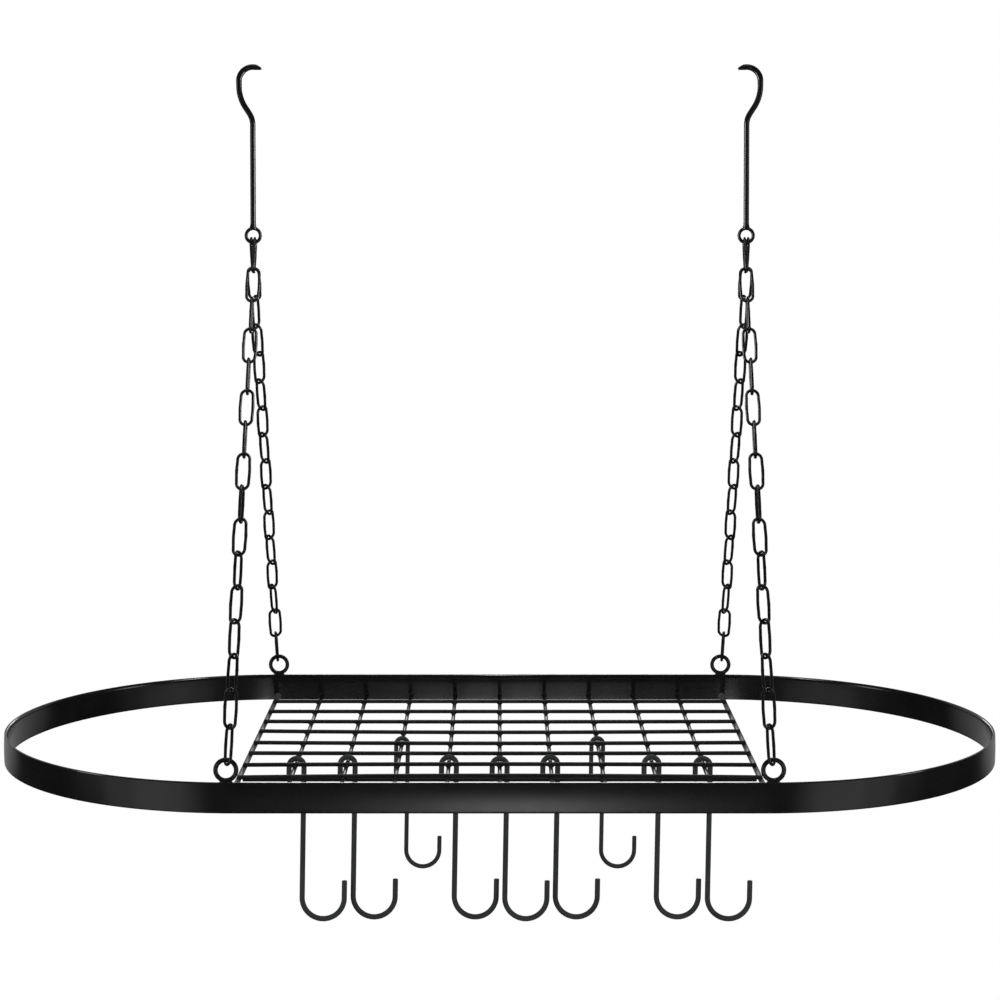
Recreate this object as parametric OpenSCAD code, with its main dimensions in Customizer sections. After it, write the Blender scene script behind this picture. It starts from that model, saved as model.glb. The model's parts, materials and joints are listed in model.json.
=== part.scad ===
// Hanging pot rack: an oval steel band with a welded wire grid, hung from two
// long ceiling hooks by four link chains, with S-shaped pot hooks on the grid.
// Origin: midway between the two ceiling hooks, at the height of their saddles
// (the inner top of each curl, which takes the load). X runs along the rack,
// Y from front to back, Z up. All lengths are in millimetres.

/* [Band] */
// Length of the oval band over its round ends
band_len = 838; // [760:1:920]
// Depth of the oval band from front to back
band_depth = 432; // [380:1:480]
// Height of the steel strip
band_h = 23; // [18:0.5:30]
// Thickness of the steel strip
band_t = 3; // [2.4:0.1:4]
// Rounding of the strip's long edges
band_edge_r = 0.5; // [0.2:0.1:0.9]

/* [Rings] */
// Distance of the rings and of the ceiling hooks from the middle
ring_x = 209; // [180:1:220]
// Outer diameter of a ring
ring_d = 19.4; // [17.4:0.2:24]
// Wire diameter of a ring
ring_wire = 3.6; // [3:0.1:4]
// Height of a ring's centre above the band
ring_lift = 10.2; // [9.6:0.1:11]
// Width of a ring's weld foot on the band
foot_w = 13.6; // [11:0.2:15]

/* [Grid] */
// Number of cells along the rack, between the side bars
cells_x = 10; // [8:2:12]
// Number of cells from front to back
cells_y = 10; // [8:2:12]
// Width of one cell along the rack
cell_w = 42; // [38:0.5:44]
// Distance by which the first and the last row of cells are deeper than the others
edge_extra = 3; // [0:0.5:8]
// Diameter of the two side bars
side_bar_d = 4.4; // [3.8:0.1:5.2]
// Diameter of the grid wires
wire_d = 3.4; // [2.8:0.1:3.8]
// Depth that crossing wires melt into each other where they are welded
weld_sink = 0.2; // [0.1:0.05:0.3]
// Height of the side bars' undersides above the band's lower edge
grid_rise = 1.1; // [0.1:0.1:4]
// Distance of the wire under the grid from the middle, towards the front
under_y = 108.4; // [90:0.2:118]
// Length of a cross wire's end past the middle of a side bar, which it stops on top of
cross_over = 0.2; // [0:0.1:1.6]
// Length of the weld bead at the end of a bar or wire
bead_len = 1.6; // [1:0.1:2.5]
// Width that a weld bead stands out round a bar or wire
bead_out = 1; // [0.5:0.1:1.4]

/* [Ceiling hooks] */
// Wire diameter of a ceiling hook
hook_wire = 4.8; // [4.2:0.1:5.2]
// Inner radius of the curl
curl_r_in = 9.3; // [8.5:0.1:10.5]
// Distance from the curl's middle to the line of the shank
curl_shift = 0.2; // [0:0.1:1]
// Length of the straight back of the curl
curl_back = 4.7; // [2:0.1:8]
// Radius of the long sweep below the curl
sweep_r = 32; // [26:1:34]
// Angle of the sweep, and of the bend that turns it back into the shank
bend_angle = 33; // [30:1:36]
// Radius of the bend into the shank
bend_r = 18; // [14:1:20]
// Height from the centre of the eye to the saddle
hook_drop = 140; // [110:1:180]
// Angle round the curl, from level, at which the tip starts
tip_from = 78; // [60:1:100]
// Length of the tapered tip
tip_len = 5.2; // [4:0.1:8]
// Radius at the end of the tip
tip_r = 0.6; // [0.3:0.1:1]
// Outer diameter of the eye
eye_d = 14.9; // [14.3:0.1:18]
// Wire diameter of the eye
eye_wire = 2.9; // [2.5:0.1:3.1]
// Length of the flare between shank and eye
neck_len = 4.5; // [3:0.1:7]
// Diameter of the flare at the eye
neck_d = 6.8; // [5.8:0.1:7.6]

/* [Chains] */
// Height from the saddles down to the band's lower edge
band_drop = 580; // [500:1:660]
// Number of links in each chain
links = 16; // [14:1:18]
// Outer width of a link
link_w = 12.6; // [11.6:0.1:14]
// Wire diameter of a link
link_wire = 2.5; // [2:0.1:2.7]
// Play between a link and what it hangs in
link_gap = 0.3; // [0.2:0.05:0.4]
// Distance of each chain from the middle of its eye, side by side with the other
pair_dx = 1.6; // [1.4:0.05:1.7]
// Angle by which a front chain twists over its lower half
front_twist = 58; // [0:1:90]
// Angle by which a back chain twists at its upper end, and again at its lower end
back_twist = 45; // [0:1:60]

/* [Pot hooks] */
// Height of a large hook
large_h = 138; // [112:1:160]
// Wire diameter of a large hook
large_wire = 4.4; // [3.8:0.1:4.6]
// Outer width of a large hook's top loop
large_loop_w = 16.7; // [15.4:0.1:19]
// Outer width of a large hook's lower curve
large_curve_w = 39.3; // [34.4:0.1:40.4]
// Height of a large hook's tip above its lowest point
large_tip_h = 34.4; // [28.4:0.1:44]
// Height of a small hook
small_h = 114.8; // [96:0.1:130]
// Wire diameter of a small hook
small_wire = 3.7; // [3.2:0.1:4.2]
// Outer width of a small hook's top loop
small_loop_w = 13.7; // [12.4:0.1:16]
// Outer width of a small hook's lower curve
small_curve_w = 32.2; // [28.4:0.1:34.4]
// Height of a small hook's tip above its lowest point
small_tip_h = 28.5; // [24.4:0.1:36]
// Length of the straight short leg behind the top loop
short_leg = 13; // [8:0.5:20]
// Play between a pot hook and the wire that it hangs on
hook_gap = 0.3; // [0.2:0.05:0.4]
// Angle by which the pot hooks lean from plumb
hook_lean = 1; // [0:0.1:3]
// Distance of the large hooks before the middle of their row of cells
large_shift = 0.5; // [0:0.5:6]
// Distance by which neighbouring large hooks stand one behind the other
stagger = 5.2; // [5:0.1:6.4]
// Distance of the small hooks before the middle of their row of cells
small_shift = 9; // [0:0.5:12]
// Number of the wire, counted from each end, that carries a small hook
small_at = 3; // [2:1:4]

/* [Hidden] */
$fn = 48;
wires = [1:cells_x - 1];
rows = [1:cells_y - 1];

// The band: straight sides joined by half circles.
end_r = band_depth / 2;
straight = band_len / 2 - end_r;
mid_r = end_r - band_t / 2;

// A length taken to the nearest 0.002, so that its half is a whole 0.001 too.
function even(v) = round(v * 500) / 500;

// How far the middle of the strip lies from the long axis at a place x along it.
function strip_y(x) = sqrt(pow(mid_r, 2) - pow(max(0, x - straight), 2));

// Ceiling hooks, from the saddle at z = 0 downwards.
curl_r = curl_r_in + hook_wire / 2;
curl_z = -curl_r_in;
back_x = curl_shift - curl_r;
back_z = curl_z - curl_back;
lap = 0.4; // the straight parts above the shank lap over the bent ones, a hair thicker
lap_swell = 0.05;
bend_lead = (-back_x - (sweep_r + bend_r) * (1 - cos(bend_angle))) / sin(bend_angle);
bend_z = even(back_z - (sweep_r + bend_r) * sin(bend_angle) - bend_lead * cos(bend_angle));
eye_r = (eye_d - eye_wire) / 2;
eye_z = -hook_drop;

// Chains. A chain's line runs from the eye's lower wire to the ring's upper wire,
// in a plane that stands pair_dx beside the middle of both.
ring_r = (ring_d - ring_wire) / 2;
reach = strip_y(ring_x);
link_turn = (link_w - link_wire) / 2;

// Height of a round wire's centre over the middle of an eye or ring of radius r, at dx beside it.
function arc_h(r, dx) = sqrt(pow(r, 2) - pow(dx, 2));
// Distance between an eye's or ring's wire and the link's wire seated in it, centre to centre.
function seat(r, wire) =
    arc_h(r, pair_dx) - arc_h(r - wire / 2 - link_wire / 2 - link_gap, pair_dx);

seat_top = seat(eye_r, eye_wire);
seat_low = seat(ring_r, ring_wire);
band_low = -band_drop;
band_top = band_low + band_h;
ring_z = band_top + ring_lift;
chain_top = eye_z - arc_h(eye_r, pair_dx);
chain_low = ring_z + arc_h(ring_r, pair_dx);
chain_run = norm([chain_top - chain_low, reach]);
slant = atan(reach / (chain_top - chain_low));
// Inner length of a link: what the chain's run leaves for each.
link_in = even((chain_run + seat_top + seat_low - link_wire + (links - 1) * link_gap) / links);
link_span = link_in + link_wire;
link_pitch = link_in - link_gap;

// Turn of link i about its chain's line: a quarter turn from link to link, and a slow twist.
// A back chain twists over its first and its last few links.
twist_links = 4;
function front_turn(i) = 90 * (i - 1) + front_twist * max(0, (i - links / 2) / (links / 2));
function back_turn(i) = 90 * (i - 1) + back_twist * min(1, (i - 1) / twist_links)
    + back_twist * max(0, 1 + (i - links - 1) / twist_links);

// Grid levels: side bars low in the band, wires level with their tops, cross wires above.
cell_d = (band_depth - 2 * (band_t + edge_extra)) / cells_y;
bar_x = cells_x * cell_w / 2;
bar_z = band_low + grid_rise + side_bar_d / 2;
wire_z = bar_z + side_bar_d / 2 - wire_d / 2;
cross_z = wire_z + wire_d - weld_sink;
cross_half = bar_x + cross_over;
under_z = wire_z - wire_d + weld_sink;
under_half = bar_x - side_bar_d / 2 + 0.2; // just into the sides of the side bars
function wire_x(i) = (i - cells_x / 2) * cell_w;
function row_y(i) = (cells_y / 2 - i) * cell_d;

// The small hooks hang in the first row of cells behind the middle, the large ones in
// the second row before it.
small_y = cell_d / 2 - small_shift;
large_y = -3 * cell_d / 2 - large_shift;
function is_small(i) = i == small_at || i == cells_x - small_at;
function hook_y(i) = is_small(i) ? small_y : large_y + stagger / 2 * (i % 2 == 0 ? 1 : -1);

foot_flare = 1.6; // radius of a weld foot's hollow flanks, as a share of its height

// Part of a round wire bent to radius r, from angle a0 to a1, flat in the XY plane.
module bent_wire(r, wire, a0, a1) {
    rotate([0, 0, a0]) rotate_extrude(angle = a1 - a0) translate([r, 0]) circle(d = wire);
}

// Straight wire along Z, upwards from the origin.
module straight_wire(len, wire) {
    cylinder(h = len, d = wire);
}

// Outline of the oval, drawn in by a distance.
module oval(inset) {
    square([2 * straight, band_depth - 2 * inset], center = true);
    for (side = [-1, 1]) translate([side * straight, 0]) circle(r = end_r - inset, $fn = 96);
}

// Section of the strip, its middle at the origin, with rounded long edges.
module strip_section() {
    square([band_t, band_h - 2 * band_edge_r], center = true);
    square([band_t - 2 * band_edge_r, band_h], center = true);
    for (x = [-1, 1], y = [-1, 1])
        translate([x * (band_t / 2 - band_edge_r), y * (band_h / 2 - band_edge_r)])
            circle(r = band_edge_r);
}

// The flat strip, bent on its narrow face into an oval and welded end to end.
module oval_band() {
    color([0.09, 0.09, 0.09]) translate([0, 0, band_top - band_h / 2]) {
        for (side = [-1, 1]) {
            translate([-straight, side * mid_r, 0]) rotate([90, 0, 90])
                linear_extrude(height = 2 * straight) strip_section();
            translate([side * straight, 0, 0]) rotate([0, 0, side > 0 ? -90 : 90])
                rotate_extrude(angle = 180, $fn = 96) translate([mid_r, 0]) strip_section();
        }
    }
}

// A closed wire ring standing on the band, with the flared foot that its weld leaves.
module ring(x, y) {
    foot_h = ring_lift - ring_r;
    foot_t = band_t - 2 * band_edge_r;
    flank_r = foot_flare * foot_h;
    color([0.07, 0.07, 0.07]) translate([x, y, ring_z]) {
        rotate([90, 0, 0]) rotate_extrude() translate([ring_r, 0]) circle(d = ring_wire);
        rotate([90, 0, 0]) translate([0, 0, -foot_t / 2]) linear_extrude(height = foot_t) difference() {
            translate([-foot_w / 2, -ring_lift]) square([foot_w, foot_h + ring_wire / 2]);
            circle(r = ring_r);
            for (side = [-1, 1])
                translate([side * foot_w / 2, -ring_lift + flank_r]) circle(r = flank_r);
        }
    }
}

// A straight bar or wire from the band's front to its back, cut to the band's inner
// faces, with a weld bead at each end.
module across(x, z, d) {
    half = strip_y(abs(x));
    intersection() {
        translate([x, 0, z]) rotate([90, 0, 0]) union() {
            translate([0, 0, -half]) straight_wire(2 * half, d);
            for (side = [0, 1]) mirror([0, 0, side])
                translate([0, 0, half - band_t / 2 - bead_len])
                    cylinder(h = bead_len + band_t / 2, d1 = d, d2 = d + 2 * bead_out);
        }
        translate([0, 0, band_low]) linear_extrude(height = band_h) oval(band_t);
    }
}

// A side bar, welded in where the round end begins.
module side_bar(side) {
    color([0.2, 0.2, 0.2]) across(side * bar_x, bar_z, side_bar_d);
}

// A grid wire from front to back. The pot hooks hang on these.
module depth_wire(i) {
    color([0.13, 0.13, 0.13]) across(wire_x(i), wire_z, wire_d);
}

// A grid wire along the rack, on top of the wires and side bars that it is welded to.
module cross_wire(i) {
    color([0.11, 0.11, 0.11]) translate([-cross_half, row_y(i), cross_z])
        rotate([0, 90, 0]) straight_wire(2 * cross_half, wire_d);
}

// One more wire along the rack, welded underneath the depth wires near the front.
module under_wire() {
    color([0.11, 0.11, 0.11]) translate([-under_half, -under_y, under_z])
        rotate([0, 90, 0]) straight_wire(2 * under_half, wire_d);
}

// A ceiling hook: pointed tip, curl with a straight back, sweep, bend, shank, flare
// and closed eye. The tip points to the middle of the rack.
module ceiling_hook(side) {
    color([0.06, 0.06, 0.06]) translate([side * ring_x, 0, 0]) mirror([side > 0 ? 1 : 0, 0, 0]) {
        translate([curl_shift, 0, curl_z]) rotate([90, 0, 0]) {
            bent_wire(curl_r, hook_wire, tip_from, 180);
            rotate([0, 0, tip_from]) translate([curl_r, 0, 0]) rotate([90, 0, 0])
                cylinder(h = tip_len, r1 = hook_wire / 2, r2 = tip_r);
        }
        translate([back_x, 0, back_z - lap]) straight_wire(curl_back + 2 * lap, hook_wire + lap_swell);
        translate([back_x + sweep_r, 0, back_z]) rotate([90, 0, 0]) {
            bent_wire(sweep_r, hook_wire, 180, 180 + bend_angle);
            rotate([0, 0, 180 + bend_angle]) translate([sweep_r, -lap, 0]) rotate([-90, 0, 0])
                straight_wire(bend_lead + 2 * lap, hook_wire + lap_swell);
        }
        translate([-bend_r, 0, bend_z]) rotate([90, 0, 0]) bent_wire(bend_r, hook_wire, 0, bend_angle);
        translate([0, 0, eye_z + eye_r]) straight_wire(bend_z - eye_z - eye_r, hook_wire);
        translate([0, 0, eye_z + eye_r]) cylinder(h = neck_len, d1 = neck_d, d2 = hook_wire);
        translate([0, 0, eye_z]) rotate([90, 0, 0])
            rotate_extrude() translate([eye_r, 0]) circle(d = eye_wire);
    }
}

// One oval chain link, long in Z and flat in the YZ plane.
module link() {
    side_len = link_span - 2 * link_turn;
    rotate([0, 90, 0]) rotate([0, 0, 90]) {
        translate([0, side_len / 2, 0]) bent_wire(link_turn, link_wire, 0, 180);
        translate([0, -side_len / 2, 0]) bent_wire(link_turn, link_wire, 180, 360);
        for (side = [-1, 1]) translate([side * link_turn, side_len / 2, 0])
            rotate([90, 0, 0]) straight_wire(side_len, link_wire);
    }
}

// Links first to last of the chain on one side (-1 left, 1 right) and one face
// (-1 front, 1 back). The front chains hang on the inner side of their eyes.
module chain(side, face, first, last) {
    x = side * (ring_x + face * pair_dx);
    color([0.08, 0.08, 0.08]) translate([x, 0, chain_top]) rotate([face * slant, 0, 0])
        for (i = [first:last])
            translate([0, 0, seat_top - link_span / 2 - (i - 1) * link_pitch])
                rotate([0, 0, side * (face < 0 ? front_turn(i) : back_turn(i))]) link();
}

// An S-shaped pot hook over a grid wire: short leg, top loop, long shank and lower
// curve, all in one upright plane. The middle of the grid wire is its origin.
module s_hook(h, wire, loop_w, curve_w, tip_h) {
    loop_r = (loop_w - wire) / 2;
    curve_r = (curve_w - wire) / 2;
    loop_z = wire_d / 2 + hook_gap + wire / 2 - loop_r;
    curve_z = loop_z + loop_r + wire - h + curve_r;
    tip_up = tip_h - curve_r - wire / 2;
    rotate([90, 0, 0]) {
        translate([0, loop_z, 0]) bent_wire(loop_r, wire, 0, 180);
        translate([loop_r + curve_r, curve_z, 0]) bent_wire(curve_r, wire, 180, 360);
        translate([-loop_r, loop_z, 0]) rotate([90, 0, 0]) straight_wire(short_leg, wire);
        translate([loop_r, loop_z, 0]) rotate([90, 0, 0]) straight_wire(loop_z - curve_z, wire);
        translate([loop_r + 2 * curve_r, curve_z, 0]) rotate([-90, 0, 0])
            straight_wire(tip_up, wire);
    }
}

// A pot hook in its place on grid wire i.
module pot_hook(i) {
    color([0.18, 0.19, 0.19]) translate([wire_x(i), hook_y(i), wire_z]) rotate([0, hook_lean, 0])
        if (is_small(i)) s_hook(small_h, small_wire, small_loop_w, small_curve_w, small_tip_h);
        else s_hook(large_h, large_wire, large_loop_w, large_curve_w, large_tip_h);
}

oval_band();
ring(-ring_x, -reach);  // ring_front_left
ring(ring_x, -reach);  // ring_front_right
ring(-ring_x, reach);  // ring_back_left
ring(ring_x, reach);  // ring_back_right
side_bar(-1);  // side_bar_left
side_bar(1);  // side_bar_right
for (i = wires) depth_wire(i);
for (i = rows) cross_wire(i);
under_wire();
ceiling_hook(-1);  // ceiling_hook_left
ceiling_hook(1);  // ceiling_hook_right
chain(-1, -1, 1, 1);  // top_link_front_left
chain(1, -1, 1, 1);  // top_link_front_right
chain(-1, 1, 1, 1);  // top_link_back_left
chain(1, 1, 1, 1);  // top_link_back_right
chain(-1, -1, 2, links);  // chain_front_left
chain(1, -1, 2, links);  // chain_front_right
chain(-1, 1, 2, links);  // chain_back_left
chain(1, 1, 2, links);  // chain_back_right
for (i = wires) pot_hook(i);
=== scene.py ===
"""Hanging pot rack: its looks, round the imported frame.

The rack's sizes are in millimetres, and meshes are turned to metres once, where they are
made. Lamps, backdrop and camera are in metres.
"""

import json
import math

import bpy
import numpy as np
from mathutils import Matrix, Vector


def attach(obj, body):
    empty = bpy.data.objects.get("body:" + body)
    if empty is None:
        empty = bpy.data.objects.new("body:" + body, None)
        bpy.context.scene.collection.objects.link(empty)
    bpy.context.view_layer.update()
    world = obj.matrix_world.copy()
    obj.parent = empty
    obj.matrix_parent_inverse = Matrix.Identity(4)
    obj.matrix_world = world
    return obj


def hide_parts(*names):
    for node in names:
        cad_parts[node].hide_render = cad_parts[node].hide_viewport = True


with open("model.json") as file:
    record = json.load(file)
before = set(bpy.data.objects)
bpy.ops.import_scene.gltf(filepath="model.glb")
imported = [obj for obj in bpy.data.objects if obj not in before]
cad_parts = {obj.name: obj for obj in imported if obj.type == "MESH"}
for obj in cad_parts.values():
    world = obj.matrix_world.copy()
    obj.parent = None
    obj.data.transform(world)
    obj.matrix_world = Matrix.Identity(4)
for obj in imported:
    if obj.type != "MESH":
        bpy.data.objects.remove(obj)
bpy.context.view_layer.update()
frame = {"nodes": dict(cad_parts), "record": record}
MM = 0.001

# ---------------------------------------------------------------- sizes of the rack, as in the solids

# Strip of the oval, and how far its lower edge hangs below the line of the ceiling hooks' seats
BAND_LEN, BAND_DEPTH, BAND_H, BAND_T, BAND_EDGE_R = 838, 432, 23, 3, 0.5
BAND_DROP = 580
# Rings: their places, sizes and wire, the height of their middles over the strip, and their feet
RING_X, RING_D, RING_WIRE, RING_LIFT, FOOT_W = 209, 19.4, 3.6, 10.2, 13.6
# Grid: cells, and what the first and last have less of in depth, then its bars and wires
CELLS, CELL_W, EDGE_EXTRA, SIDE_BAR_D, WIRE_D = 10, 42, 3, 4.4, 3.4
# How far crossing wires sink into each other, the side bars' height over the strip's lower edge,
# how far rows reach past the side bars' middles, and the lower wire's place in front of the middle
WELD_SINK, GRID_RISE, CROSS_OVER, UNDER_Y = 0.2, 1.1, 0.2, 108.4
# Weld beads where bars and wires meet the strip
BEAD_LEN, BEAD_OUT = 1.6, 1
# Ceiling hooks from the top down: curl, sweep and bend, then point, eye and neck; angles in degrees
HOOK_WIRE, CURL_R_IN, CURL_SHIFT, CURL_BACK, HOOK_DROP = 4.8, 9.3, 0.2, 4.7, 140
SWEEP_R, BEND_ANGLE, BEND_R = 32, 33, 18
TIP_FROM, TIP_LEN, TIP_R = 78, 5.2, 0.6
EYE_D, EYE_WIRE, NECK_LEN, NECK_D = 14.9, 2.9, 4.5, 6.8
# Chains: PAIR_DX is how far a chain hangs beside its hook's middle, and twists are in degrees
LINKS, LINK_W, LINK_WIRE, LINK_GAP, PAIR_DX = 16, 12.6, 2.5, 0.3, 1.6
FRONT_TWIST, BACK_TWIST, TWIST_LINKS = 58, 45, 4
# Pot hooks, and where they hang along their wires
HOOK_GAP, HOOK_LEAN = 0.3, math.radians(1)
LARGE_HOOK = {"h": 138, "wire_d": 4.4, "loop_w": 16.7, "curve_w": 39.3, "tip_h": 34.4, "leg": 13}
SMALL_HOOK = {"h": 114.8, "wire_d": 3.7, "loop_w": 13.7, "curve_w": 32.2, "tip_h": 28.5}
SMALL_PLACES = (3, 7)
LARGE_SHIFT, SMALL_SHIFT, STAGGER = 0.5, 9, 5.2

# ---------------------------------------------------------------- finer sizes, of the scene alone

# The short legs of the small hooks
SMALL_HOOK["leg"] = 32
# How far each row of the grid lies off its place, and how far its middle bows from its ends
ROW_LIES = {1: (2.2, 0), 2: (-0.6, 0), 3: (-1.2, -1.4), 4: (1.2, -5.0), 5: (-2.2, -3.0), 6: (0, -1.2),
            7: (-0.8, 2.8), 8: (-2.0, 6.0), 9: (-1.0, 2.0)}
# The bend of the ceiling hooks' points, how deep a welded end sinks into the strip, and how
# round a cut end of wire is
TIP_BEND_R, END_SINK, CUT_R = 24, 0.3, 0.5

# ---------------------------------------------------------------- places worked out from them

END_R = BAND_DEPTH / 2
STRAIGHT = BAND_LEN / 2 - END_R
MID_R = END_R - BAND_T / 2
BAND_LOW = -BAND_DROP
BAND_TOP = BAND_LOW + BAND_H
BAND_MID_Z = BAND_TOP - BAND_H / 2
RING_Z = BAND_TOP + RING_LIFT
RING_R = (RING_D - RING_WIRE) / 2


def strip_y(x):
    """How far the middle of the strip lies from the long axis at a place x along it."""
    return math.sqrt(MID_R**2 - max(0, abs(x) - STRAIGHT) ** 2)


def arc_h(r, dx):
    """Height of a round wire's centre over the middle of an eye of radius r, at dx beside it."""
    return math.sqrt(r * r - dx * dx)


def seat(r, wire_d):
    """Distance from an eye's wire to the wire of the link seated in it, centre to centre."""
    return arc_h(r, PAIR_DX) - arc_h(r - wire_d / 2 - LINK_WIRE / 2 - LINK_GAP, PAIR_DX)


REACH = strip_y(RING_X)
EYE_R = (EYE_D - EYE_WIRE) / 2
CURL_R = CURL_R_IN + HOOK_WIRE / 2
BACK_X = CURL_SHIFT - CURL_R
BACK_Z = -CURL_R_IN - CURL_BACK
BEND_SIN, BEND_COS = math.sin(math.radians(BEND_ANGLE)), math.cos(math.radians(BEND_ANGLE))
BEND_LEAD = (-BACK_X - (SWEEP_R + BEND_R) * (1 - BEND_COS)) / BEND_SIN
BEND_Z = BACK_Z - (SWEEP_R + BEND_R) * BEND_SIN - BEND_LEAD * BEND_COS
SEAT_TOP, SEAT_LOW = seat(EYE_R, EYE_WIRE), seat(RING_R, RING_WIRE)
CHAIN_TOP = -HOOK_DROP - arc_h(EYE_R, PAIR_DX)
CHAIN_FALL = CHAIN_TOP - RING_Z - arc_h(RING_R, PAIR_DX)
CHAIN_RUN = math.hypot(CHAIN_FALL, REACH)
SLANT = math.atan(REACH / CHAIN_FALL)
LINK_IN = (CHAIN_RUN + SEAT_TOP + SEAT_LOW - LINK_WIRE + (LINKS - 1) * LINK_GAP) / LINKS
LINK_SPAN, LINK_PITCH = LINK_IN + LINK_WIRE, LINK_IN - LINK_GAP
LINK_TURN = (LINK_W - LINK_WIRE) / 2
CELL_D = (BAND_DEPTH - 2 * (BAND_T + EDGE_EXTRA)) / CELLS
BAR_X = CELLS * CELL_W / 2
BAR_Z = BAND_LOW + GRID_RISE + SIDE_BAR_D / 2
WIRE_Z = BAR_Z + SIDE_BAR_D / 2 - WIRE_D / 2
CROSS_Z = WIRE_Z + WIRE_D - WELD_SINK
UNDER_Z = WIRE_Z - WIRE_D + WELD_SINK
INNER = range(1, CELLS)
SIDES = (("left", -1), ("right", 1))
FACES = (("front", -1), ("back", 1))


# ---------------------------------------------------------------- mesh making


def turn(axis, angle):
    """Matrix of a turn by an angle about the x, y or z axis."""
    c, s = math.cos(angle), math.sin(angle)
    i, j = {"x": (1, 2), "y": (2, 0), "z": (0, 1)}[axis]
    m = np.eye(3)
    m[i, i], m[i, j], m[j, i], m[j, j] = c, -s, s, c
    return m


ALONG_Y = turn("z", math.pi / 2)


def skin(rows, cols, close_rows, close_cols, caps=True):
    """Quads over a grid of rows x cols points, numbered row by row, and a cap on each open end."""
    r = np.arange(rows if close_rows else rows - 1)[:, None]
    c = np.arange(cols if close_cols else cols - 1)[None, :]
    up, side = (r + 1) % rows, (c + 1) % cols
    quads = np.stack([r * cols + c, r * cols + side, up * cols + side, up * cols + c], -1)
    faces = quads.reshape(-1, 4).tolist()
    if caps and not close_rows:
        first = np.arange(cols)
        faces += [first[::-1].tolist(), (first + (rows - 1) * cols).tolist()]
    return faces


def joined(parts):
    """Several (points, faces) as one, the faces renumbered by the points before them."""
    starts = np.cumsum([0] + [len(p) for p, _ in parts])
    faces = [[v + int(start) for v in face]
             for start, (_, own_faces) in zip(starts, parts) for face in own_faces]
    return np.concatenate([p for p, _ in parts]), faces


def placed(part, matrix=None, at=(0, 0, 0)):
    """A (points, faces) turned by a matrix and moved."""
    points, faces = part
    points = points if matrix is None else points @ np.asarray(matrix).T
    return points + np.asarray(at, float), faces


def wire(path, radius, sides, closed=False, flat=1.0):
    """Round wire along a flat path of (u, v) points, u along x and v along z.

    Point (k, a) = path[k] + radius[k] * (cos a * n + flat[k] * sin a * y), where n is the
    path's normal in its plane and y stands square to the plane.
    """
    path = np.asarray(path, float)
    if closed:
        ahead, behind = np.roll(path, -1, 0), np.roll(path, 1, 0)
    else:
        ahead, behind = np.vstack([path[1:], path[-1:]]), np.vstack([path[:1], path[:-1]])
    along = ahead - behind
    along /= np.linalg.norm(along, axis=1, keepdims=True)
    normal = np.stack([along[:, 1], -along[:, 0]], -1)
    a = np.linspace(0, 2 * np.pi, sides, endpoint=False)
    r = np.broadcast_to(np.asarray(radius, float), len(path))[:, None]
    k = np.broadcast_to(np.asarray(flat, float), len(path))[:, None]
    x = path[:, :1] + r * np.cos(a) * normal[:, :1]
    z = path[:, 1:] + r * np.cos(a) * normal[:, 1:]
    y = r * k * np.sin(a)
    return np.stack([x, y, z], -1).reshape(-1, 3), skin(len(path), sides, closed, True)


def rounded_ends(lengths, total, r, edge):
    """Radius of a cut wire at each length along it: its ends round off in a quarter circle."""
    near = np.clip(np.minimum(lengths, total - lengths) / edge, 0, 1)
    return r - edge * (1 - np.sqrt(np.clip(1 - (1 - near) ** 2, 0, 1)))


def run_length(path):
    """Length along a path at each of its points."""
    return np.concatenate([[0], np.cumsum(np.linalg.norm(np.diff(path, axis=0), axis=1))])


def arc(centre, r, a0, a1, count):
    """Points on a circle from angle a0 to a1, in degrees."""
    a = np.radians(np.linspace(a0, a1, count))
    return np.stack([centre[0] + r * np.cos(a), centre[1] + r * np.sin(a)], -1)


def line(a, b, count):
    """Points from a to b, without b."""
    t = np.linspace(0, 1, count, endpoint=False)[:, None]
    return np.asarray(a, float) * (1 - t) + np.asarray(b, float) * t


def piece(name, part, body, finish, replaces):
    """Makes a (points, faces) in millimetres a smooth object that rides on a body for CAD nodes."""
    points, faces = part
    mesh = bpy.data.meshes.new(name)
    mesh.from_pydata((points * MM).tolist(), [], faces)
    mesh.validate()
    mesh.shade_smooth()
    obj = bpy.data.objects.new(name, mesh)
    bpy.context.scene.collection.objects.link(obj)
    mesh.materials.append(finish)
    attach(obj, body)
    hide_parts(*replaces)
    return obj


# ---------------------------------------------------------------- finishes


class Val:
    """A shader socket that takes part in arithmetic: each operation adds its Math node."""

    def __init__(self, nodes, socket):
        self.nodes, self.socket = nodes, socket

    def _math(self, operation, a, b=0.0):
        return self.nodes.node("ShaderNodeMath", {"operation": operation}, {0: a, 1: b})

    def __add__(self, other):
        return self._math("ADD", self, other)

    def __sub__(self, other):
        return self._math("SUBTRACT", self, other)

    def __mul__(self, other):
        return self._math("MULTIPLY", self, other)

    def __radd__(self, other):
        return self._math("ADD", other, self)

    def __rsub__(self, other):
        return self._math("SUBTRACT", other, self)

    def __rmul__(self, other):
        return self._math("MULTIPLY", other, self)

    def size(self):
        """The value without its sign."""
        return self._math("ABSOLUTE", self)

    def clamped(self):
        """The value kept between 0 and 1."""
        return self.nodes.node("ShaderNodeClamp", {}, {"Value": self})


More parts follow.
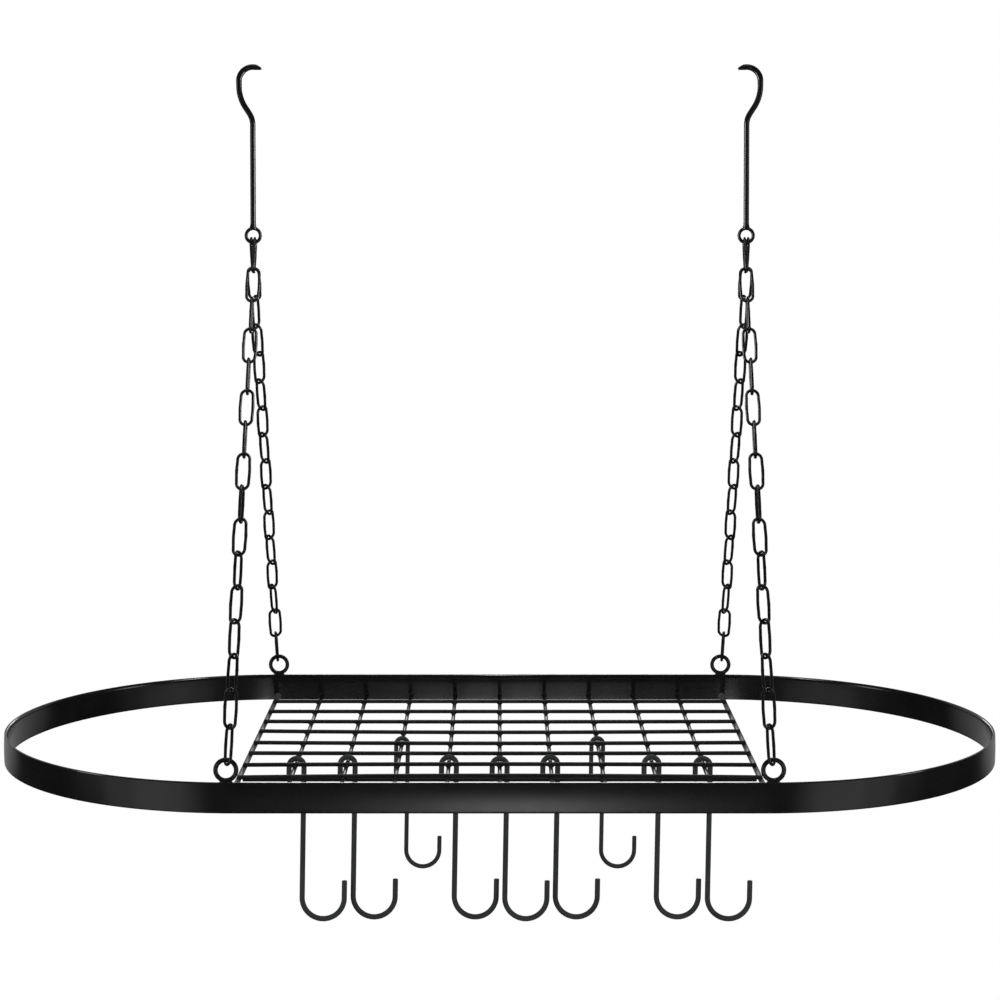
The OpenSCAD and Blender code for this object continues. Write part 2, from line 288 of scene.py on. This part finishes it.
class Nodes:
    """The node tree of a material or of the world, under construction."""

    def __init__(self, holder):
        holder.use_nodes = True
        self.holder = holder
        self.tree = holder.node_tree
        self.tree.nodes.clear()

    def node(self, kind, settings, inputs, output=0):
        """Adds a node: its settings first, then each input's value or link; gives one output."""
        made = self.tree.nodes.new(kind)
        for key, value in settings.items():
            setattr(made, key, value)
        for key, value in inputs.items():
            if isinstance(value, Val):
                self.tree.links.new(value.socket, made.inputs[key])
            else:
                made.inputs[key].default_value = value
        return Val(self, made.outputs[output]) if made.outputs else None

    def place(self):
        """Object coordinates, in metres."""
        return self.node("ShaderNodeTexCoord", {}, {}, "Object")

    def height(self):
        """Object coordinate z, in metres."""
        return self.node("ShaderNodeSeparateXYZ", {}, {0: self.place()}, "Z")

    def noise(self, scale, detail=2.0, rough=0.5):
        """Cloudy values round 0.5, scale bumps to the metre."""
        inputs = {"Vector": self.place(), "Scale": scale, "Detail": detail, "Roughness": rough}
        return self.node("ShaderNodeTexNoise", {}, inputs, "Fac")

    def mix(self, factor, a, b):
        """Colour a where factor is 0 and b where it is 1."""
        a, b = ((*c, 1) if isinstance(c, tuple) else c for c in (a, b))
        return self.node("ShaderNodeMix", {"data_type": "RGBA"}, {0: factor, 6: a, 7: b}, 2)

    def step(self, value, start, end):
        """0 up to start and 1 from end on, smooth between."""
        inputs = {"Value": value, "From Min": start, "From Max": end}
        return self.node("ShaderNodeMapRange", {"interpolation_type": "SMOOTHSTEP"}, inputs)

    def close(self, kind, shader):
        """Ends the tree with its output node."""
        self.node(kind, {}, {"Surface": shader})
        return self.holder


def grey(value):
    """Colour of the same red, green and blue."""
    return (value, value, value)


MICRON = 0.000001
# Bumps to the metre: clouds of colour, the coat's grain, uneven gloss, dents, rubbed spots
CLOUDS, GRAIN, GLOSS_PATCHES, DENTS, RUBBED_SPOTS = 30, 1400, 75, 170, 110
# The grain's share in the colour's clouds, and the noise at which clouds and rubbed spots begin and end
GRAIN_SHARE, CLOUD_LIMITS, RUBBED_LIMITS = 0.25, (0.35, 0.65), (0.35, 0.7)
# The colour of rubbed coat, and how much smoother it is
RUBBED, RUBBED_SMOOTHER = grey(0.010), 0.06


def powder_coat(name, dark, light, roughness, spread, peel, dents=0.0, worn=None):
    """Black coat on steel: cloudy between two colours, its gloss uneven, with fine orange peel.

    peel and dents are heights in micrometres, of the coat's grain and of the broad
    unevenness of hand-bent wire. worn is a pair of heights in millimetres between which,
    off the strip's middle, the coat gets thinner, paler and smoother.
    """
    nodes = Nodes(bpy.data.materials.new(name))
    clouds = nodes.noise(CLOUDS, 3)
    grain = nodes.noise(GRAIN, 2, 0.6)
    mottle = clouds * (1 - GRAIN_SHARE) + grain * GRAIN_SHARE
    colour = nodes.mix(nodes.step(mottle, *CLOUD_LIMITS), dark, light)
    rough = roughness + (nodes.noise(GLOSS_PATCHES, 3) - 0.5) * spread
    relief = grain * (peel * MICRON)
    if dents:
        relief = relief + nodes.noise(DENTS, 1) * (dents * MICRON)
    if worn:
        edge = nodes.step((nodes.height() - BAND_MID_Z * MM).size(), worn[0] * MM, worn[1] * MM)
        spots = nodes.step(nodes.noise(RUBBED_SPOTS, 4), *RUBBED_LIMITS)
        colour = nodes.mix(edge * spots, colour, RUBBED)
        rough = rough - edge * RUBBED_SMOOTHER
    inputs = {"Strength": 1.0, "Distance": 1.0, "Height": relief}
    bump = nodes.node("ShaderNodeBump", {}, inputs, "Normal")
    inputs = {"Base Color": colour, "Roughness": rough, "Normal": bump}
    surface = nodes.node("ShaderNodeBsdfPrincipled", {}, inputs)
    return nodes.close("ShaderNodeOutputMaterial", surface)


FINISHES = {
    "band_coat": powder_coat("band_black_powder_coat", grey(0.0028), grey(0.0050),
                             roughness=0.20, spread=0.03, peel=0.8, worn=(10.8, 11.6)),
    "ring_coat": powder_coat("ring_gloss_black", grey(0.0035), grey(0.007),
                             roughness=0.17, spread=0.06, peel=0.4, dents=5),
    "chain_coat": powder_coat("chain_gloss_black", grey(0.0035), grey(0.008),
                              roughness=0.17, spread=0.08, peel=0.4, dents=12),
    # The side bars' pale greys are a painted highlight: the same black coat as the grid, made lighter
    # to stand in for the light their tops catch
    "bar_coat": powder_coat("side_bar_black_painted_highlight", grey(0.055), grey(0.095),
                            roughness=0.48, spread=0.08, peel=2, dents=6),
    "grid_coat": powder_coat("grid_satin_black", grey(0.0045), grey(0.009),
                             roughness=0.38, spread=0.10, peel=1.2, dents=6),
    "hook_coat": powder_coat("pot_hook_matte_charcoal", (0.022, 0.0235, 0.0235), (0.031, 0.033, 0.033),
                             roughness=0.60, spread=0.08, peel=3),
}
slot_of = {s["node"]: s["material_slot"] for s in frame["record"]["subparts"]}
body_of = {n: b for b, members in frame["record"]["behaviour"]["bodies"].items() for n in members}
for node_name, node_object in frame["nodes"].items():
    node_object.data.materials.clear()
    node_object.data.materials.append(FINISHES[slot_of[node_name]])


def stand_for(name, part, *nodes):
    """The piece that stands for CAD nodes of one body and one slot."""
    slot = slot_of[nodes[0]]
    return piece(name, part, body_of[nodes[0]], FINISHES[slot], nodes)


# ---------------------------------------------------------------- band


def band():
    """The strip's section carried once round the oval.

    Point (s, a) = line(s) + across(a) * outward(s) + up(a) * z. The line is two half circles
    and two straights. The section is the strip's, with round edges, its faces crowned by
    crown * (1 - (up / half height)^2) as the rolls leave them, the inner one less. The upper
    edge is drawn up by lift, and slopes down to the inner face over slope.
    """
    crown, inner_share, lift, slope = 0.3, 0.2, 0.7, 0.8
    bend_points, run_points, face_points, edge_points = 97, 34, 13, 5
    right = np.radians(np.linspace(-90, 90, bend_points))
    left = np.radians(np.linspace(90, 270, bend_points))
    run = np.linspace(STRAIGHT, -STRAIGHT, run_points)[1:-1]
    x = np.concatenate([STRAIGHT + MID_R * np.cos(right), run,
                        -STRAIGHT + MID_R * np.cos(left), run[::-1]])
    y = np.concatenate([MID_R * np.sin(right), run * 0 + MID_R,
                        MID_R * np.sin(left), run * 0 - MID_R])
    nx = np.concatenate([np.cos(right), run * 0, np.cos(left), run * 0])
    ny = np.concatenate([np.sin(right), run * 0 + 1, np.sin(left), run * 0 - 1])
    half_t, half_h = BAND_T / 2 - BAND_EDGE_R, BAND_H / 2 - BAND_EDGE_R
    face = np.linspace(-half_h, half_h, face_points)[1:-1]
    edge = np.radians(np.linspace(0, 90, edge_points))
    swell = crown * (1 - (face / half_h) ** 2)
    across = np.concatenate([
        half_t + BAND_EDGE_R + swell, half_t + BAND_EDGE_R * np.cos(edge),
        -half_t - BAND_EDGE_R * np.sin(edge), -half_t - BAND_EDGE_R - inner_share * swell[::-1],
        -half_t - BAND_EDGE_R * np.cos(edge), half_t + BAND_EDGE_R * np.sin(edge)])
    up = np.concatenate([
        face, half_h + BAND_EDGE_R * np.sin(edge), half_h + BAND_EDGE_R * np.cos(edge),
        face[::-1], -half_h - BAND_EDGE_R * np.sin(edge), -half_h - BAND_EDGE_R * np.cos(edge)])
    top = up > half_h
    across = across + np.where(top & (across < 0), slope, 0)
    up = up + np.where(top, lift, 0)
    points = np.stack([x[:, None] + across * nx[:, None], y[:, None] + across * ny[:, None],
                       np.broadcast_to(BAND_MID_Z + up, (len(x), len(up)))], -1)
    return points[:, ::-1].reshape(-1, 3), skin(len(x), len(up), True, True)


stand_for("band", band(), "oval_band")

# ---------------------------------------------------------------- rings


def ring():
    """Ring in the xz plane round the origin, on a foot that flares down to the band.

    The foot's point (t, a) lies on a squashed circle of half width w(t) and half depth d(t):
    x = w sign(cos a) |cos a|^0.7, y = d sign(sin a) |sin a|^0.7, w falling as (1 - t)^2.2.
    It starts a little sunk into the band and ends in the ring's wire, below the ring's middle.
    """
    top_w, low_d, top_d, sunk, below_middle = 4.7, 1.1, 1.5, 0.2, 8.0
    eye = wire(arc((0, 0), RING_R, 0, 360, 61)[:-1], RING_WIRE / 2, sides=20, closed=True)
    t = np.linspace(0, 1, 10)[:, None]
    a = np.linspace(0, 2 * np.pi, 28, endpoint=False)
    half_w = top_w + (FOOT_W / 2 - top_w) * (1 - t) ** 2.2
    half_d = low_d + (top_d - low_d) * t
    x = half_w * np.sign(np.cos(a)) * np.abs(np.cos(a)) ** 0.7
    y = half_d * np.sign(np.sin(a)) * np.abs(np.sin(a)) ** 0.7
    z = np.broadcast_to(-RING_LIFT - sunk + t * (RING_LIFT + sunk - below_middle), x.shape)
    foot = np.stack([x, y, z], -1).reshape(-1, 3), skin(len(t), len(a), False, True)
    return joined([eye, foot])


for face_name, face in FACES:
    for side_name, side in SIDES:
        stand_for(f"hanging_ring_{face_name}_{side_name}",
                  placed(ring(), at=(side * RING_X, face * REACH, RING_Z)),
                  f"ring_{face_name}_{side_name}")

# ---------------------------------------------------------------- grid


def rod(half, r, out=0.0):
    """Straight wire along x, from -half to half.

    Its radius is a function of d, the distance to the nearer end. With out it widens to its
    weld as out * (1 - d / length of the bead)^2, the bead's hollow run-out included, and
    without it its cut ends are rounded. Its points lie closest together at the ends.
    """
    bead, end_zone = BEAD_LEN + 0.8, 12
    at_end = np.array([0, 0.08, 0.2, 0.35, 0.55, 0.8, 1.1, 1.5, 1.9, 2.4, 3.2, 5])
    middle = np.linspace(-half + end_zone, half - end_zone, 41)
    x = np.concatenate([-half + at_end, middle, half - at_end[::-1]])
    d = half - np.abs(x)
    if out:
        radius = r + out * np.clip(1 - d / bead, 0, 1) ** 2
    else:
        radius = rounded_ends(x + half, 2 * half, r, CUT_R)
    return wire(np.stack([x, 0 * x], -1), radius, sides=20)


def hand_laid(part, i):
    """A part of a row as it lies by hand: y + shift + bow * (1 - (x / bar place)^2)."""
    shift, bow = ROW_LIES.get(i, (0, 0))
    points, faces = part
    lies = shift + bow * (1 - (points[:, :1] / BAR_X) ** 2)
    return points + lies * np.array([0, 1, 0]), faces


def welds(places, wide=2.7, tall=1.3):
    """Webs of molten steel where wires cross: squashed balls round the places.

    Point (v, u) = place + (wide sin v cos u, wide sin v sin u, tall cos v), v running from
    one small cap at a pole to the other.
    """
    rings, sides, cap = 9, 16, 0.02
    v = np.linspace(cap, np.pi - cap, rings)[:, None]
    u = np.linspace(0, 2 * np.pi, sides, endpoint=False)
    x, y = wide * np.sin(v) * np.cos(u), wide * np.sin(v) * np.sin(u)
    ball = np.stack(np.broadcast_arrays(x, y, tall * np.cos(v)), -1).reshape(-1, 3)
    faces = [quad[::-1] for quad in skin(rings, sides, False, True)]
    return [placed((ball, faces), at=p) for p in places]


def reach_inside(x):
    """Half the length of a bar across the band at x, its ends sunk a little into the strip."""
    return strip_y(x) - BAND_T / 2 + END_SINK


def wire_x(i):
    """Place of depth wire i along the rack, and of the pot hook on it."""
    return (i - CELLS / 2) * CELL_W


def row_y(i):
    """Even place of row i between the back and the front of the rack."""
    return (CELLS / 2 - i) * CELL_D


def row(i):
    """Wire across the grid: it lies on the side bars and the depth wires, with a weld at each."""
    inside_bar, below = 1.7, 1.0
    at_bars = [(side * (BAR_X - inside_bar), 0, -below) for _, side in SIDES]
    at_wires = [(wire_x(k), 0, -WIRE_D / 2 + WELD_SINK / 2) for k in INNER]
    parts = [rod(BAR_X + CROSS_OVER, WIRE_D / 2), *welds(at_wires),
             *welds(at_bars, wide=1.9, tall=1.5)]
    return placed(hand_laid(joined(parts), i), at=(0, row_y(i), CROSS_Z))


def under_row():
    """Wire across the grid under the depth wires, its ends welded into the side bars' sides."""
    into_bar = 0.2
    at_wires = [(wire_x(k), 0, WIRE_D / 2 - WELD_SINK / 2) for k in INNER]
    parts = [rod(BAR_X - SIDE_BAR_D / 2 + into_bar, WIRE_D / 2), *welds(at_wires)]
    return placed(joined(parts), at=(0, -UNDER_Y, UNDER_Z))


for side_name, side in SIDES:
    bar = rod(reach_inside(BAR_X), SIDE_BAR_D / 2, BEAD_OUT)
    stand_for(f"grid_side_bar_{side_name}", placed(bar, ALONG_Y, (side * BAR_X, 0, BAR_Z)),
              f"side_bar_{side_name}")
for i in INNER:
    depth_wire = rod(reach_inside(wire_x(i)), WIRE_D / 2, BEAD_OUT)
    stand_for(f"grid_wire_{i}", placed(depth_wire, ALONG_Y, (wire_x(i), 0, WIRE_Z)), f"depth_wire_{i}")
for i in INNER:
    stand_for(f"grid_row_{i}", row(i), f"cross_wire_{i}")
stand_for("grid_under_wire", under_row(), "under_wire")

# ---------------------------------------------------------------- ceiling hooks


def ceiling_hook(side):
    """Ceiling hook in the xz plane, from its tip to its eye, as one wire and a closed ring.

    The wire's path is arcs and straight lines, and its radius a function of the length s from
    the tip: a blunt point that grows as s^0.7, a hollow flare to the weld on the eye, and
    between them a bell curve at the back of the curl, where bending presses the wire flat.
    """
    flat_from_point, flat_spread, wider, thinner = 16, 9, 0.08, 0.1
    into_eye = 0.6
    toward = np.array([math.cos(math.radians(TIP_FROM)), math.sin(math.radians(TIP_FROM))])
    tip_centre = np.array([CURL_SHIFT, -CURL_R_IN]) + (CURL_R - TIP_BEND_R) * toward
    tip_sweep = math.degrees(TIP_LEN / TIP_BEND_R)
    bend_from = (-BEND_R + BEND_R * BEND_COS, BEND_Z + BEND_R * BEND_SIN)
    sweep_to = (BACK_X + SWEEP_R * (1 - BEND_COS), BACK_Z - SWEEP_R * BEND_SIN)
    low = -HOOK_DROP + EYE_R
    path = np.concatenate([
        arc(tip_centre, TIP_BEND_R, TIP_FROM - tip_sweep, TIP_FROM, 14)[:-1],
        arc((CURL_SHIFT, -CURL_R_IN), CURL_R, TIP_FROM, 180, 34)[:-1],
        line((BACK_X, -CURL_R_IN), (BACK_X, BACK_Z), 5),
        arc((BACK_X + SWEEP_R, BACK_Z), SWEEP_R, 180, 180 + BEND_ANGLE, 16)[:-1],
        line(sweep_to, bend_from, 6),
        arc((-BEND_R, BEND_Z), BEND_R, BEND_ANGLE, 0, 14)[:-1],
        line((0, BEND_Z), (0, low + NECK_LEN), 24),
        line((0, low + NECK_LEN), (0, low - into_eye), 12),
        [(0, low - into_eye)]])
    s = run_length(path)
    point = np.clip(s / TIP_LEN, 0, 1) ** 0.7
    neck = np.clip((low + NECK_LEN - path[:, 1]) / NECK_LEN, 0, 1) ** 1.6
    bent = np.exp(-(((s - TIP_LEN - flat_from_point) / flat_spread) ** 2))
    radius = (TIP_R + (HOOK_WIRE / 2 - TIP_R) * point) * (1 + wider * bent)
    radius = radius + (NECK_D - HOOK_WIRE) / 2 * neck
    path = path * np.array([-side, 1])
    stem = wire(path, radius, sides=24, flat=1 - thinner * bent)
    eye = wire(arc((0, -HOOK_DROP), EYE_R, 0, 360, 49)[:-1], EYE_WIRE / 2, sides=20, closed=True)
    return joined([stem, eye])


for side_name, side in SIDES:
    stand_for(f"screw_hook_{side_name}", placed(ceiling_hook(side), at=(side * RING_X, 0, 0)),
              f"ceiling_hook_{side_name}")

# ---------------------------------------------------------------- chains


def link():
    """Chain link in the yz plane: half circles joined by sides that bow out a little.

    A side's distance from the middle is r + bow * cos^2(pi z / side), the half circles are
    squeezed to r, and the wire swells by a bell curve where one side was welded.
    """
    bow, squeezed, weld_z, weld_spread, swell = 0.35, 0.15, 1, 1.5, 0.1
    r = LINK_TURN - squeezed
    half = LINK_SPAN / 2 - LINK_TURN
    z = np.linspace(-half, half, 12)[1:-1]
    x = r + bow * np.cos(np.pi * z / (2 * half)) ** 2
    top = arc((0, half), LINK_TURN, 0, 180, 15)
    low = arc((0, -half), LINK_TURN, 180, 360, 15)
    squeeze = np.array([r / LINK_TURN, 1])
    falling, rising = np.stack([-x[::-1], z[::-1]], -1), np.stack([x, z], -1)
    path = np.concatenate([top * squeeze, falling, low * squeeze, rising])
    weld = np.exp(-(((path[:, 1] - weld_z) / weld_spread) ** 2)) * (path[:, 0] > 0)
    radius = LINK_WIRE / 2 * (1 + swell * weld)
    return placed(wire(path, radius, sides=14, closed=True), ALONG_Y)


def link_turn(face, i):
    """Turn of link i about its chain's line, as in the solids: a quarter turn each, and a twist."""
    if face < 0:
        twist = FRONT_TWIST * max(0, (i - LINKS / 2) / (LINKS / 2))
    else:
        upper, lower = min(1, (i - 1) / TWIST_LINKS), max(0, 1 + (i - LINKS - 1) / TWIST_LINKS)
        twist = BACK_TWIST * (upper + lower)
    return math.radians(90 * (i - 1) + twist)


def chain(side, face, numbers):
    """Links of a chain, each turned about the chain's line and hung a pitch below the last."""
    hung = [placed(link(), turn("z", side * link_turn(face, i)),
                   (0, 0, SEAT_TOP - LINK_SPAN / 2 - (i - 1) * LINK_PITCH)) for i in numbers]
    top = (side * (RING_X + face * PAIR_DX), 0, CHAIN_TOP)
    return placed(joined(hung), turn("x", face * SLANT), top)


for face_name, face in FACES:
    for side_name, side in SIDES:
        place = f"{face_name}_{side_name}"
        stand_for(f"first_link_{place}", chain(side, face, [1]), f"top_link_{place}")
        stand_for(f"link_chain_{place}", chain(side, face, range(2, LINKS + 1)), f"chain_{place}")

# ---------------------------------------------------------------- pot hooks


def s_hook(h, wire_d, loop_w, curve_w, tip_h, leg):
    """S-hook in the xz plane about the grid wire.

    One path: short leg, loop, shank, curve and tip, with rounded cut ends, close to which
    its points lie closer together.
    """
    near_cut = 1
    loop_r, curve_r = (loop_w - wire_d) / 2, (curve_w - wire_d) / 2
    loop_z = WIRE_D / 2 + HOOK_GAP + wire_d / 2 - loop_r
    curve_z = loop_z + loop_r + wire_d - h + curve_r
    tip_x = loop_r + 2 * curve_r
    tip_z = curve_z + tip_h - curve_r - wire_d / 2
    leg_z = loop_z - leg
    path = np.concatenate([
        line((-loop_r, leg_z), (-loop_r, leg_z + near_cut), 6),
        line((-loop_r, leg_z + near_cut), (-loop_r, loop_z), 6),
        arc((0, loop_z), loop_r, 180, 0, 24)[:-1],
        line((loop_r, loop_z), (loop_r, curve_z), 14),
        arc((loop_r + curve_r, curve_z), curve_r, 180, 360, 40)[:-1],
        line((tip_x, curve_z), (tip_x, tip_z - near_cut), 6),
        line((tip_x, tip_z - near_cut), (tip_x, tip_z), 6),
        [(tip_x, tip_z)],
    ])
    s = run_length(path)
    return wire(path, rounded_ends(s, s[-1], wire_d / 2, CUT_R), sides=24)


def hook_place(i):
    """Where pot hook i hangs: the middle of the grid wire under its loop."""
    if i in SMALL_PLACES:
        y = CELL_D / 2 - SMALL_SHIFT
    else:
        y = -3 * CELL_D / 2 - LARGE_SHIFT + STAGGER / 2 * (1 if i % 2 == 0 else -1)
    return (wire_x(i), y, WIRE_Z)


for i in INNER:
    size = SMALL_HOOK if i in SMALL_PLACES else LARGE_HOOK
    hook = placed(s_hook(**size), turn("y", HOOK_LEAN), hook_place(i))
    stand_for(f"s_hook_{i}", hook, f"pot_hook_{i}")

# ---------------------------------------------------------------- light, floor and camera

scene = bpy.context.scene
# Backdrop: the floor's height and front edge, the wall, half the width, the top and the cove's radius
FLOOR_Z, FLOOR_FRONT, WALL_Y, HALF_W, TALL, COVE = -2.4, -1.0, 5.0, 9.0, 5.0, 1.5
# Camera: its place and its tilt downwards, then in pixels the picture, the lens and the axis in it
EYE, TILT = (0, -1.9747, -0.1327), 0.04
FRAME_PX, FOCAL_PX, CENTRE_X_PX, CENTRE_Y_PX = 1000, 2326.9, 499.71, 320.04
SENSOR_MM = 36
# Lamps: name, place, the point it faces, width, height, glow. A broad one overhead, pairs in front,
# at the sides and close below, and a low one far in front light the strip. The narrow pair between
# the ceiling hooks draws a line of light down each shank. A pair stands out beside the hooks, and
# the last lamp behind them.
LAMPS = [
    ("overhead", (0.0, -0.6, 2.0), (0, 0, -0.5), 2.2, 1.2, 1.0),
    ("fill_left", (-1.45, -1.45, -1.0), (0, 0, -0.55), 1.5, 1.0, 0.4),
    ("fill_right", (1.45, -1.45, -1.0), (0, 0, -0.55), 1.5, 1.0, 0.4),
    ("side_left", (-2.3, -1.0, -0.95), (0, 0, -0.55), 1.0, 1.0, 0.13),
    ("side_right", (2.3, -1.0, -0.95), (0, 0, -0.55), 1.0, 1.0, 0.13),
    ("near_left", (-0.6, -0.62, -0.73), (0, 0, -0.57), 0.28, 0.3, 0.33),
    ("near_right", (0.6, -0.62, -0.73), (0, 0, -0.57), 0.28, 0.3, 0.33),
    ("front_low", (0.05, -3.92, -1.84), (0.0, -0.2, -0.57), 0.28, 0.65, 5.6),
    ("strip_left", (-0.004, -0.08, -0.12), (-0.209, 0, -0.12), 0.06, 0.22, 14.0),
    ("strip_right", (0.004, -0.08, -0.12), (0.209, 0, -0.12), 0.06, 0.22, 14.0),
    ("edge_left", (-2.4, -0.75, -0.12), (-0.2, 0, -0.2), 0.5, 0.9, 4.0),
    ("edge_right", (2.4, -0.75, -0.12), (0.2, 0, -0.2), 0.5, 0.9, 4.0),
    ("behind", (0.0, 2.6, 0.04), (0, -0.1, -0.57), 0.95, 0.4, 6.0),
]


def backdrop_sheet():
    """Floor and wall as one sheet: straight, a quarter circle of radius COVE, and straight up."""
    a = np.linspace(0, np.pi / 2, 24)
    y = np.concatenate([[FLOOR_FRONT], WALL_Y - COVE + COVE * np.sin(a), [WALL_Y]])
    z = np.concatenate([[FLOOR_Z], FLOOR_Z + COVE - COVE * np.cos(a), [TALL]])
    points = np.stack([np.tile([-HALF_W, HALF_W], len(y)), np.repeat(y, 2), np.repeat(z, 2)], -1)
    return points.tolist(), skin(len(y), 2, False, False, caps=False)


def seen_directly(nodes):
    """1 for rays from the camera or through glass."""
    path = nodes.node("ShaderNodeLightPath", {}, {}, "Is Camera Ray")
    through = nodes.node("ShaderNodeLightPath", {}, {}, "Is Transmission Ray")
    return (path + through).clamped()


def mirrored(nodes):
    """1 for rays that a glossy surface sends on."""
    return nodes.node("ShaderNodeLightPath", {}, {}, "Is Glossy Ray")


def paper(name, shade, lit, dark, sides, floor):
    """Pale paper, pure white to the camera and lit paper otherwise.

    Reflections see the wall as bright as lit. It falls to dark between the two distances
    sides from the middle, and where the sheet turns to the floor, between the places floor.
    """
    nodes = Nodes(bpy.data.materials.new(name))
    plain = nodes.node("ShaderNodeBsdfDiffuse", {}, {"Color": (shade, shade, shade, 1)})
    white = nodes.node("ShaderNodeEmission", {}, {"Strength": 1.0})
    off = nodes.node("ShaderNodeSeparateXYZ", {}, {0: nodes.place()}, "X").size()
    ahead = nodes.node("ShaderNodeSeparateXYZ", {}, {0: nodes.place()}, "Y")
    wall = (1 - nodes.step(off, *sides)) * nodes.step(ahead, *floor)
    shine = nodes.node("ShaderNodeEmission", {}, {"Strength": dark + wall * (lit - dark)})
    unseen = nodes.node("ShaderNodeMixShader", {}, {0: mirrored(nodes), 1: plain, 2: shine})
    seen = nodes.node("ShaderNodeMixShader", {}, {0: seen_directly(nodes), 1: unseen, 2: white})
    return nodes.close("ShaderNodeOutputMaterial", seen)


def studio_room(room, dark):
    """A white room to the camera, which lights as a room does and is dark in reflections."""
    nodes = Nodes(bpy.data.worlds.new("studio"))
    colour = (1, 1, 1, 1)
    lit, shine, white = (nodes.node("ShaderNodeBackground", {}, {"Color": colour, "Strength": strength})
                         for strength in (room, dark, 1.0))
    unseen = nodes.node("ShaderNodeMixShader", {}, {0: mirrored(nodes), 1: lit, 2: shine})
    seen = nodes.node("ShaderNodeMixShader", {}, {0: seen_directly(nodes), 1: unseen, 2: white})
    return nodes.close("ShaderNodeOutputWorld", seen)


def softbox(name, at, to, width, height, glow):
    """Area lamp at a place, facing another. glow is its power to the square metre, over pi."""
    data = bpy.data.lights.new(name, "AREA")
    data.shape, data.size, data.size_y = "RECTANGLE", width, height
    data.energy = glow * math.pi * width * height
    obj = bpy.data.objects.new(name, data)
    scene.collection.objects.link(obj)
    obj.location = at
    obj.rotation_euler = (Vector(to) - Vector(at)).to_track_quat("-Z", "Y").to_euler()
    obj.visible_camera = False


points, faces = backdrop_sheet()
sheet_mesh = bpy.data.meshes.new("backdrop")
sheet_mesh.from_pydata(points, [], faces)
backdrop = bpy.data.objects.new("backdrop", sheet_mesh)
scene.collection.objects.link(backdrop)
sheet_mesh.materials.append(paper("backdrop_paper", shade=0.8, lit=0.37, dark=0.03,
                                  sides=(5.0, 6.6), floor=(4.0, 4.9)))
scene.world = studio_room(room=0.75, dark=0.03)
for lamp in LAMPS:
    softbox(*lamp)

camera_data = bpy.data.cameras.new("camera")
camera = bpy.data.objects.new("camera", camera_data)
scene.collection.objects.link(camera)
scene.camera = camera
camera.location = EYE
camera.rotation_euler = (math.pi / 2 - TILT, 0, 0)
camera_data.sensor_width = SENSOR_MM
camera_data.lens = SENSOR_MM * FOCAL_PX / FRAME_PX
camera_data.shift_x = (FRAME_PX / 2 - CENTRE_X_PX) / FRAME_PX
camera_data.shift_y = (CENTRE_Y_PX - FRAME_PX / 2) / FRAME_PX

scene.view_settings.view_transform = "Standard"
